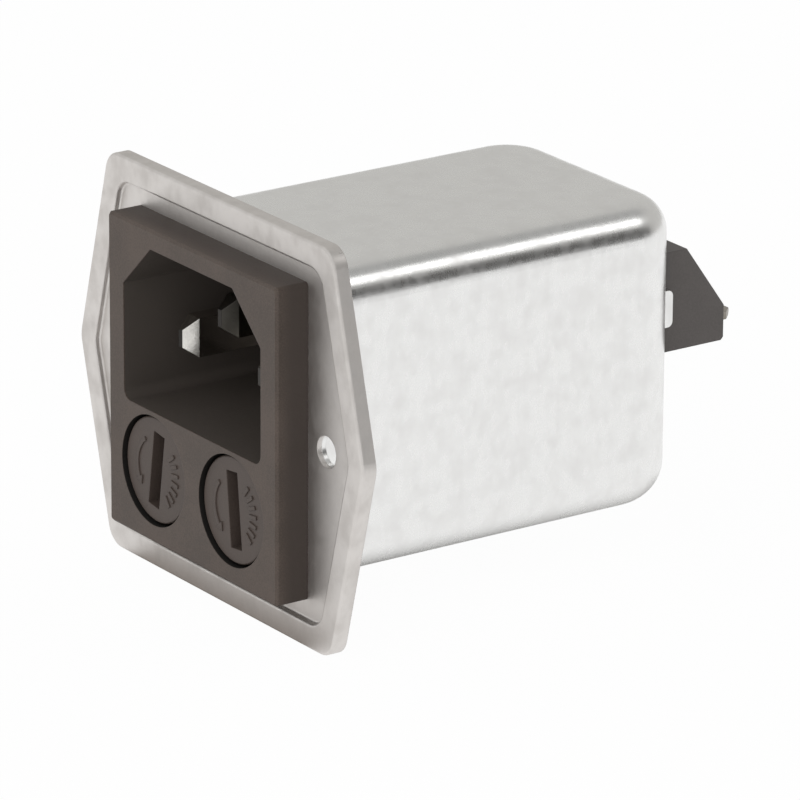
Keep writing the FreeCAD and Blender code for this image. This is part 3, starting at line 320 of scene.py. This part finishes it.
def raised_marks(side, middle, tilt):
    """The arrow and the ridges of one cap as one mesh, on the face of the cap and turned with its slot."""
    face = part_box("fuse_cap_" + side)[0].y / MM
    turn = Matrix.Rotation(math.radians(tilt), 4, "Y")
    points, faces = [], []
    for outline in [arrow_outline()] + [ridge_outline(angle) for angle in RIDGE_ANGLES]:
        first, count = len(points), len(outline)
        for level in (face + MARK_ROOT, face - MARK_RISE):
            points += [(turn @ point + middle + Vector((0.0, level, 0.0))) * MM for point in outline]
        faces.append([first + count + k for k in range(count)])
        faces += [[first + k, first + (k + 1) % count, first + count + (k + 1) % count, first + count + k]
                  for k in range(count)]
    mesh = bpy.data.meshes.new("cap_marks_" + side)
    mesh.from_pydata(points, [], faces)
    mesh.materials.append(cap_moulding)
    marks = bpy.data.objects.new("cap_marks_" + side, mesh)
    bpy.context.scene.collection.objects.link(marks)
    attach(marks, "cap_" + side)


for side, hub in cap_hubs.items():
    raised_marks(side, Vector((hub.x, 0.0, hub.z)), CAP_TILT[side])

# Fuses: a clear glass tube between two nickel ferrules, with a fine wire through it.
# Each is held by the clip of its cap and pushed against a sprung contact behind.
# A tinned strip joins each holder to its contact blade.

GLASS_CLEAR, GLASS_TINGED = (0.95, 0.97, 0.96), (0.90, 0.94, 0.93)
GLASS_GLOSS, GLASS_BEND = 0.03, 1.5
SMEAR_SIZE, SMEAR_ROUGH = 3.0, 0.04
TIN_PALE, TIN_DARK, TIN_GLOSS = (0.76, 0.74, 0.70), (0.64, 0.62, 0.58), 0.32
glass = Finish("fuse_glass")
smear = glass.cloud(SMEAR_SIZE)
glass.coat(base_color=glass.blend(smear, GLASS_CLEAR, GLASS_TINGED),
           roughness=GLASS_GLOSS + smear * SMEAR_ROUGH, transmission_weight=1.0, ior=GLASS_BEND)
satin_tin = plated("satin_tin", TIN_PALE, TIN_DARK, TIN_GLOSS)
dress(glass.material, "fuse_glass_left", "fuse_glass_right")
dress(clip_nickel, "fuse_ferrules_left", "fuse_ferrules_right")
dress(satin_tin, "fuse_element_left", "fuse_element_right", "fuse_end_contact_left", "fuse_end_contact_right",
      "fuse_link_left", "fuse_link_right")

# Front plate: plated steel sheet, stamped with a sunken panel and a raised rim, two screw holes in it.
# Its edge is turned back round the flange of the can. Handling leaves it a little smudged.

BLOTCH_DETAIL = 4.0
MOTTLE_SIZE, MOTTLE_STRETCH, MOTTLE_DETAIL = 0.8, (1, 1, 2), 3.0
LINE_SIZE, GRAIN_SIZE = 0.35, 0.12
MOTTLE_SHARE, SMUDGE_FROM, SMUDGE_TO = 0.3, 0.5, 0.9
SMUDGE_ROUGH, MOTTLE_ROUGH, GRAIN_ROUGH = 0.08, 0.10, 0.06
LINE_RELIEF, MOTTLE_RELIEF, GRAIN_RELIEF, SHEET_RELIEF = 0.5, 0.35, 0.15, 0.012


def sheet_steel(name, pale, dark, gloss, blotch, draw, edge):
    """Satin plated sheet with soft blotches, handling marks and faint lines of the drawing."""
    made = Finish(name)
    patch = made.cloud(blotch, detail=BLOTCH_DETAIL)
    mottle = made.cloud(MOTTLE_SIZE, stretch=MOTTLE_STRETCH, detail=MOTTLE_DETAIL)
    lines = made.cloud(LINE_SIZE, stretch=draw)
    grain = made.cloud(GRAIN_SIZE)
    smudge = made.band(patch + mottle * MOTTLE_SHARE, SMUDGE_FROM, SMUDGE_TO)
    rough = gloss + smudge * SMUDGE_ROUGH + uneven(mottle, MOTTLE_ROUGH) + uneven(grain, GRAIN_ROUGH)
    height = lines * LINE_RELIEF + mottle * MOTTLE_RELIEF + grain * GRAIN_RELIEF
    return made.coat(base_color=made.blend(smudge, pale, dark), metallic=1.0, roughness=rough,
                     normal=made.relief(height, SHEET_RELIEF, edge))


PLATE_PALE, PLATE_DARK = (0.73, 0.70, 0.675), (0.655, 0.625, 0.60)
dress(sheet_steel("stamped_plate", PLATE_PALE, PLATE_DARK, gloss=0.46, blotch=2.6, draw=(1, 1, 1), edge=0.14),
      "flange_plate")

# Can: deep-drawn in one piece with its flange from plated steel sheet, rounder at the closed end.
# The drawing stretches the surface along the depth into a satin with long faint lines.

CAN_PALE, CAN_DARK = (0.87, 0.87, 0.86), (0.835, 0.83, 0.82)
dress(sheet_steel("drawn_can", CAN_PALE, CAN_DARK, gloss=0.27, blotch=2.4, draw=(1, 18, 1), edge=0.10),
      "shield_can")

# Filter parts: sealed in the can, on a bare laminate board. The choke's two enamelled windings share a
# ferrite ring, with a box capacitor, two discs and a resistor beside it, and sleeved leads to the fuses.

SKIN_DETAIL, SKIN_ROUGH, SKIN_DEPTH, SKIN_EDGE = 3.0, 0.2, 0.03, 0.1


def dipped(name, dark, pale, gloss, size):
    """A plain coated or sintered body with a slightly uneven skin."""
    made = Finish(name)
    patch = made.cloud(size, detail=SKIN_DETAIL)
    return made.coat(base_color=made.blend(patch, dark, pale), roughness=gloss + uneven(patch, SKIN_ROUGH),
                     normal=made.relief(patch, SKIN_DEPTH, SKIN_EDGE))


dress(dipped("board_laminate", (0.30, 0.24, 0.11), (0.42, 0.34, 0.17), gloss=0.5, size=0.5), "filter_board")
dress(dipped("ferrite", (0.028, 0.028, 0.029), (0.05, 0.05, 0.05), gloss=0.6, size=0.4), "choke_core")
dress(dipped("enamelled_wire", (0.30, 0.075, 0.02), (0.45, 0.14, 0.04), gloss=0.3, size=0.6),
      "choke_winding_line", "choke_winding_neutral")
dress(dipped("capacitor_case", (0.45, 0.33, 0.03), (0.55, 0.42, 0.05), gloss=0.4, size=1.5), "x_capacitor")
dress(dipped("disc_coating", (0.02, 0.08, 0.28), (0.03, 0.12, 0.36), gloss=0.25, size=1.2),
      "y_capacitor_line", "y_capacitor_neutral")
dress(dipped("resistor_coating", (0.34, 0.24, 0.13), (0.44, 0.33, 0.2), gloss=0.35, size=0.8),
      "bleed_resistor")
dress(dipped("lead_sleeve", (0.03, 0.03, 0.03), (0.05, 0.05, 0.05), gloss=0.45, size=0.8),
      "line_lead", "neutral_lead")

# Terminal shroud: a second black moulding that steps out of the can's rear wall round the push-on blades.
# It has the same tool texture as the front moulding. The tinned push-on blades have tarnished.
# The one for earth is riveted to the can's rear wall, and a strap joins the can to the earth pin.

SHROUD_DARK, SHROUD_PALE = (0.098, 0.089, 0.085), (0.118, 0.107, 0.103)
TARNISH_PALE, TARNISH_DARK, TARNISH_GLOSS = (0.40, 0.37, 0.33), (0.28, 0.26, 0.23), 0.38
dress(moulded("shroud_moulding", SHROUD_DARK, SHROUD_PALE, TOOL_GLOSS, TOOL_EDGE), "terminal_block")
dress(plated("tarnished_tin", TARNISH_PALE, TARNISH_DARK, TARNISH_GLOSS),
      "line_tab", "neutral_tab", "earth_tab")
dress(satin_tin, "earth_rivet", "earth_strap")

# Studio: a sheet of white paper under the part in a pale room, with a softbox behind it and one in front.
# The background shows plain white. The metal mirrors the paper, the walls and the softbox behind, and it
# mirrors the paper's own shade under the can and a painted shadow at the foot of the plate.

FLOOR_SIZE = 4.0
PAPER_WHITE = (0.95, 0.95, 0.95, 1)
PAPER_SEEN, PAPER_MIRRORED, PAPER_SHADED = 0.97, 0.88, 0.06
SHADE_ACROSS, SHADE_ALONG, SHADE_FADE = 7.5, 24.4, 11.0
FOOT_ACROSS, FOOT_ALONG, FOOT_FADE = 14.0, 3.5, 4.5
# A painted shadow: the grey that the metal mirrors at the foot of the plate in place of the white.
FOOT_PAINTED_SHADOW = (0.25, 0.22, 0.20)
WHITE = (1, 1, 1)
half = FLOOR_SIZE / 2
floor_mesh = bpy.data.meshes.new("floor")
floor_mesh.from_pydata([(-half, -half, cad_low.z), (half, -half, cad_low.z), (half, half, cad_low.z),
                        (-half, half, cad_low.z)], [], [(0, 1, 2, 3)])
floor = bpy.data.objects.new("floor", floor_mesh)
bpy.context.scene.collection.objects.link(floor)
paper = Finish("white_paper")
seen, mirrored, through = (paper.node("ShaderNodeLightPath", out=ray)
                           for ray in ("Is Camera Ray", "Is Glossy Ray", "Is Transmission Ray"))
across, from_plate = abs(paper.along("X")), paper.along("Y")
from_middle = abs(from_plate - (cad_low.y + cad_high.y) / 2 / MM)
under = paper.within(across, SHADE_ACROSS, SHADE_FADE) * paper.within(from_middle, SHADE_ALONG, SHADE_FADE)
foot = paper.within(across, FOOT_ACROSS, FOOT_FADE) * paper.within(abs(from_plate), FOOT_ALONG, FOOT_FADE)
matt = paper.node("ShaderNodeBsdfDiffuse", {}, {"Color": PAPER_WHITE})
# For mirror rays, the paper's white turns to a painted shadow at the plate's foot.
white = paper.node("ShaderNodeEmission", {},
                   {"Color": paper.blend(mirrored * foot, WHITE, FOOT_PAINTED_SHADOW), "Strength": 1.0})
mirrored_share = PAPER_MIRRORED - under * (1 - foot) * (PAPER_MIRRORED - PAPER_SHADED)
share = (seen + through) * PAPER_SEEN + mirrored * mirrored_share
sheet = paper.node("ShaderNodeMixShader", {}, {0: share, 1: matt, 2: white})
paper.node("ShaderNodeOutputMaterial", {}, {"Surface": sheet})
floor_mesh.materials.append(paper.material)


class Room(Finish):
    """The world's nodes, made in the same way as a finish."""

    def __init__(self, world):
        world.use_nodes = True
        self.tree = world.node_tree
        self.tree.nodes.clear()


BACK_WALL, FRONT_WALL = (0.575, 0.568, 0.55), (0.76, 0.76, 0.755)
BACK_FROM, BACK_TO = -0.1, 0.4
DIM_FLAG, FLAG_RIGHT, FLAG_HEIGHT = (0.36, 0.36, 0.355), (-0.30, -0.02), (0.55, 0.72)
DIM_CORNER, CORNER_RIGHT, CORNER_TOP = (0.07, 0.068, 0.066), (0.30, 0.65), (0.42, 0.54)
bpy.context.scene.world = bpy.data.worlds.new("studio")
room = Room(bpy.context.scene.world)
direction = room.node("ShaderNodeTexCoord", out="Generated")
right, depth, height = (room.along(axis, direction) for axis in "XYZ")
behind = room.band(depth, BACK_FROM, BACK_TO)
flag = behind * room.band(right, *FLAG_RIGHT) * room.band(height, *FLAG_HEIGHT)
corner = behind * room.band(right, *CORNER_RIGHT) * (1 - room.band(height, *CORNER_TOP))
walls = room.blend(flag, room.blend(behind, FRONT_WALL, BACK_WALL), DIM_FLAG)
walls = room.blend(corner, walls, DIM_CORNER)
seen = room.node("ShaderNodeLightPath", out="Is Camera Ray")
light = room.node("ShaderNodeBackground", {}, {"Color": room.blend(seen, walls, WHITE), "Strength": 1.0})
room.node("ShaderNodeOutputWorld", {}, {"Surface": light})


def softbox(name, way, distance, size, watts, mirrored):
    """A square lamp that faces the part from a direction, hidden from the camera, and mirrored or not."""
    lamp = bpy.data.lights.new(name, "AREA")
    lamp.shape, lamp.size, lamp.energy = "SQUARE", size, watts
    box = bpy.data.objects.new(name, lamp)
    bpy.context.scene.collection.objects.link(box)
    way = Vector(way).normalized()
    box.location = (cad_low + cad_high) / 2 + way * distance
    box.rotation_mode = "QUATERNION"
    box.rotation_quaternion = (-way).to_track_quat("-Z", "Y")
    box.visible_camera, box.visible_glossy = False, mirrored


softbox("back_light", (0.48, 0.54, 0.69), distance=0.60, size=0.16, watts=0.17, mirrored=True)
softbox("front_light", (0.46, -0.82, 0.34), distance=0.90, size=1.10, watts=4.00, mirrored=False)

# Camera: a long lens to the right of the front and a little above, as in the photograph.
# Its place was fitted to the socket's recess and the flange's corners.

CAMERA_SPOT, CAMERA_AIM = Vector((0.5401, -0.35425, 0.22434)), Vector((0.03016, 0.0, 0.00875))
CAMERA_ROLL = math.radians(0.33)
LENS_LENGTH, SENSOR_WIDTH = 317.0, 36.0
NEAREST, FARTHEST = 0.01, 20.0
lens = bpy.data.cameras.new("camera")
lens.lens, lens.sensor_width = LENS_LENGTH, SENSOR_WIDTH
lens.clip_start, lens.clip_end = NEAREST, FARTHEST
camera = bpy.data.objects.new("camera", lens)
bpy.context.scene.collection.objects.link(camera)
camera.location = CAMERA_SPOT
camera.rotation_mode = "QUATERNION"
camera.rotation_quaternion = (CAMERA_AIM - CAMERA_SPOT).to_track_quat("-Z", "Y")
camera.rotation_quaternion @= Matrix.Rotation(CAMERA_ROLL, 4, "Z").to_quaternion()
bpy.context.scene.camera = camera
bpy.context.scene.view_settings.view_transform = "Standard"
